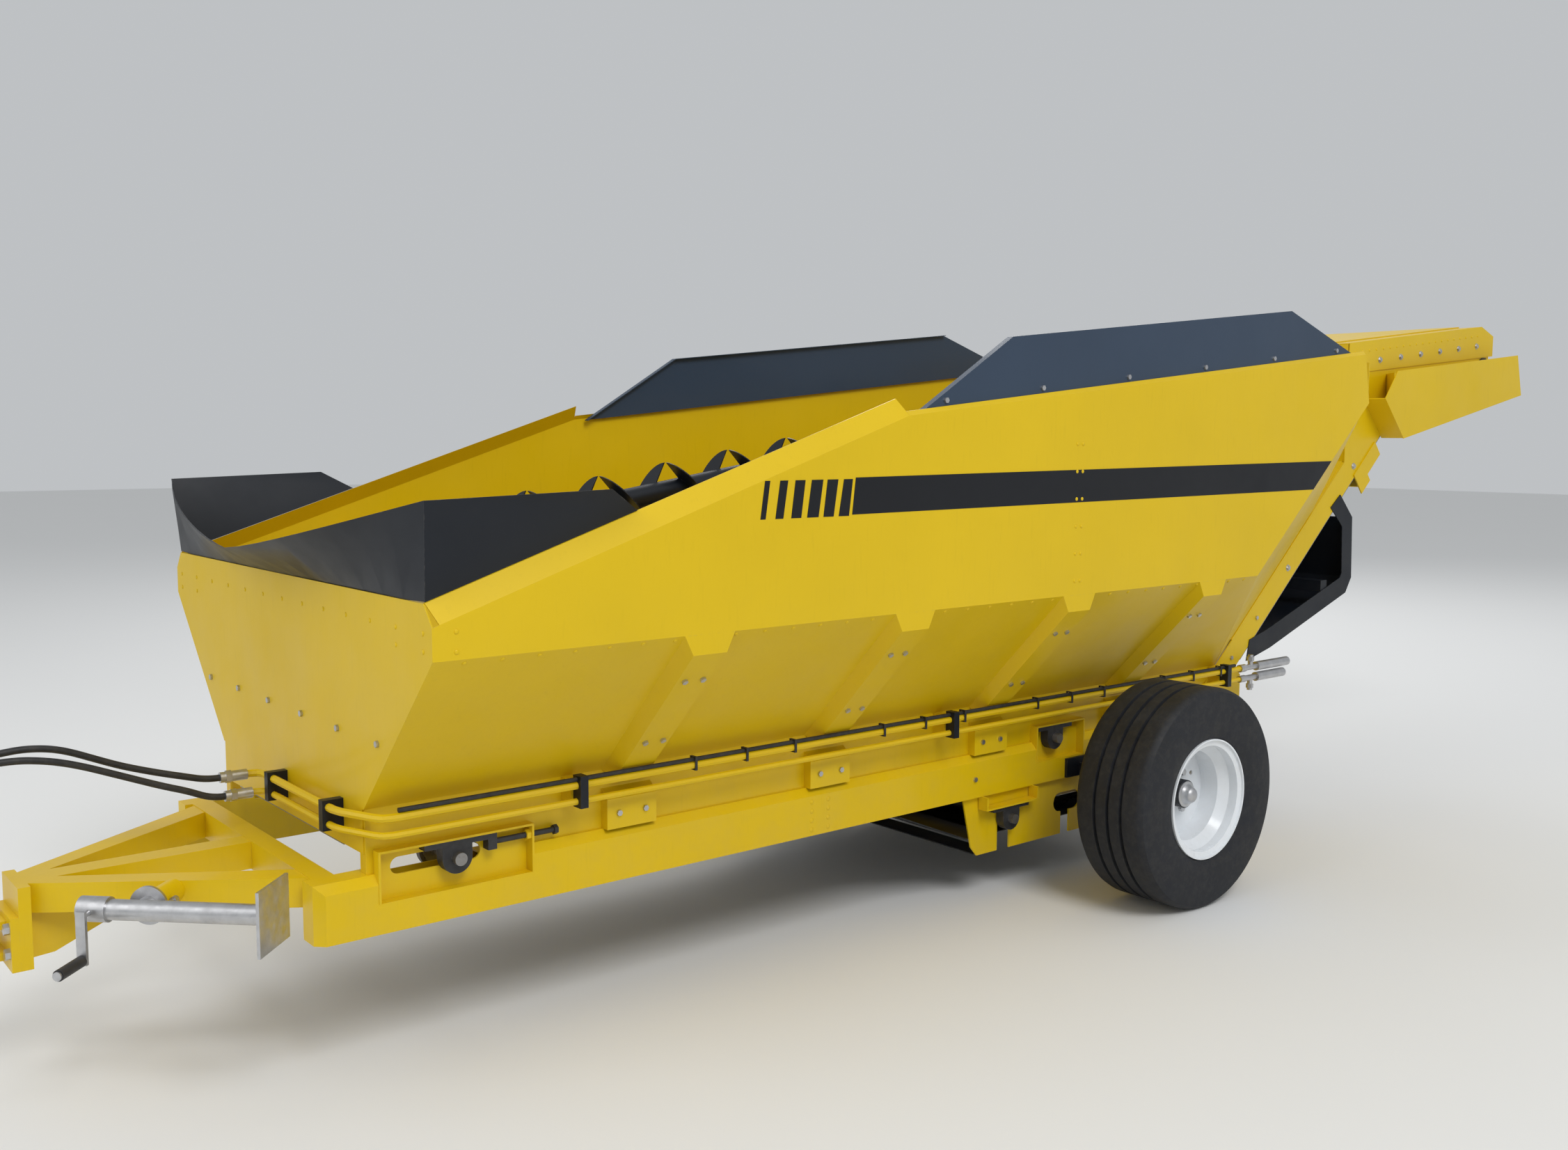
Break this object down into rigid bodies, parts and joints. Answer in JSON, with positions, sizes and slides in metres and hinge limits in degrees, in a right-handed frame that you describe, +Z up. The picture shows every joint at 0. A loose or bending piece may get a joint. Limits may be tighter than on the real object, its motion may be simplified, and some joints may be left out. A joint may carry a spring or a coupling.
{
  "type": "orchard grain cart",
  "caption": "Single-axle yellow grain cart: sloped-side hopper with floor chain, rear inclined elevator and hooded discharge, levelling auger, A-frame tongue with side-wind jack.",
  "frame": {"origin": "point on the ground straight below the middle of the wheel axle", "axes": "+X rearwards from the hitch towards the discharge, +Y to the cart's right-hand side, +Z up"},
  "size_m": [7.057, 2.242, 2.2194],
  "materials": {
    "yellow_paint": "gloss powder coat",
    "black_paint": "semi-gloss",
    "grey_panel": "satin",
    "cast_black": "painted casting",
    "zinc_steel": "zinc plated",
    "bare_steel": "worn",
    "white_rim": "gloss",
    "tyre_rubber": "moulded",
    "hose_rubber": "satin",
    "grip_plastic": "matt"
  },
  "bodies": {
    "cart": {"side_rail_left": "yellow_paint", "side_rail_right": "yellow_paint", "side_plate_left": "yellow_paint", "side_plate_right": "yellow_paint", "cross_members": "yellow_paint", "tongue": "yellow_paint", "hitch_clevis": "yellow_paint", "stub_axles": "black_paint", "wheel_bearings": "bare_steel", "jack_mount": "zinc_steel", "hopper_front": "yellow_paint", "hopper_side_left": "yellow_paint", "hopper_side_right": "yellow_paint", "hopper_tail": "yellow_paint", "side_ribs": "yellow_paint", "extension_left": "grey_panel", "extension_right": "grey_panel", "front_apron": "black_paint", "body_bolts": "zinc_steel", "floor_pan": "bare_steel", "floor_chain": "bare_steel", "shaft_bearings": "cast_black", "elevator_side_left": "yellow_paint", "elevator_side_right": "yellow_paint", "elevator_deck": "bare_steel", "elevator_chain": "bare_steel", "discharge_hood": "yellow_paint", "discharge_shields": "yellow_paint", "belly_guard": "black_paint", "boot_pan": "black_paint", "auger_supports": "yellow_paint", "drive_motors": "black_paint", "hard_lines": "yellow_paint", "line_clamps": "black_paint", "harness": "hose_rubber", "rear_fittings": "zinc_steel", "hose_upper": "hose_rubber", "hose_lower": "hose_rubber", "hose_fittings": "zinc_steel", "hose_rack": "yellow_paint"},
    "wheel_left": {"wheel_hub_left": "black_paint", "rim_left": "white_rim", "tyre_left": "tyre_rubber", "hub_cap_left": "zinc_steel", "wheel_bolts_left": "zinc_steel"},
    "wheel_right": {"wheel_hub_right": "black_paint", "rim_right": "white_rim", "tyre_right": "tyre_rubber", "hub_cap_right": "zinc_steel", "wheel_bolts_right": "zinc_steel"},
    "jack": {"jack_tube": "zinc_steel"},
    "jack_leg": {"jack_ram": "zinc_steel"},
    "jack_handle": {"jack_crank": "zinc_steel"},
    "jack_knob": {"jack_grip": "grip_plastic"},
    "takeup": {"takeup_blocks": "cast_black"},
    "front_roll": {"front_shaft": "bare_steel"},
    "drive_roll": {"drive_shaft": "bare_steel"},
    "boot_roll": {"boot_shaft": "bare_steel"},
    "head_roll": {"head_shaft": "bare_steel"},
    "auger": {"levelling_auger": "black_paint"}
  },
  "joints": [
    {"name": "wheel_left_spin", "type": "hinge", "parent": "cart", "child": "wheel_left", "pos_m": [0, -0.975, 0.392], "axis": [0, 1, 0], "continuous": true},
    {"name": "wheel_right_spin", "type": "hinge", "parent": "cart", "child": "wheel_right", "pos_m": [0, 0.975, 0.392], "axis": [0, 1, 0], "continuous": true},
    {"name": "takeup_slide", "type": "slide", "parent": "cart", "child": "takeup", "axis": [1, 0, 0], "range_m": [0, 0.03]},
    {"name": "front_shaft_spin", "type": "hinge", "parent": "takeup", "child": "front_roll", "pos_m": [-2.59, 0, 0.542], "axis": [0, 1, 0], "continuous": true},
    {"name": "drive_shaft_spin", "type": "hinge", "parent": "cart", "child": "drive_roll", "pos_m": [-0.17, 0, 0.542], "axis": [0, 1, 0], "continuous": true},
    {"name": "boot_shaft_spin", "type": "hinge", "parent": "cart", "child": "boot_roll", "pos_m": [-0.425, 0, 0.284], "axis": [0, 1, 0], "continuous": true},
    {"name": "head_shaft_spin", "type": "hinge", "parent": "cart", "child": "head_roll", "pos_m": [3.15059, 0, 2.00289], "axis": [0, 1, 0], "continuous": true},
    {"name": "auger_spin", "type": "hinge", "parent": "cart", "child": "auger", "pos_m": [-2.23, 0, 1.355], "axis": [0.9877, 0, 0.1564], "continuous": true},
    {"name": "jack_swivel", "type": "hinge", "parent": "cart", "child": "jack", "pos_m": [-3.33062, -0.36836, 0.505], "axis": [0.7034, 0.7108, 0], "range_deg": [0, 90]},
    {"name": "jack_extend", "type": "slide", "parent": "jack", "child": "jack_leg", "axis": [0.7108, -0.7034, 0], "range_m": [0, 0.165]},
    {"name": "jack_crank_spin", "type": "hinge", "parent": "jack", "child": "jack_handle", "pos_m": [-3.41378, -0.28607, 0.505], "axis": [0.7034, 0.7108, 0], "continuous": true},
    {"name": "jack_grip_spin", "type": "hinge", "parent": "jack_handle", "child": "jack_knob", "pos_m": [-3.41378, -0.28607, 0.397], "axis": [0.7034, 0.7108, 0], "continuous": true}
  ],
  "couplings": [
    {"joint": "front_shaft_spin", "follows": "drive_shaft_spin", "ratio": 1},
    {"joint": "boot_shaft_spin", "follows": "head_shaft_spin", "ratio": 1}
  ]
}
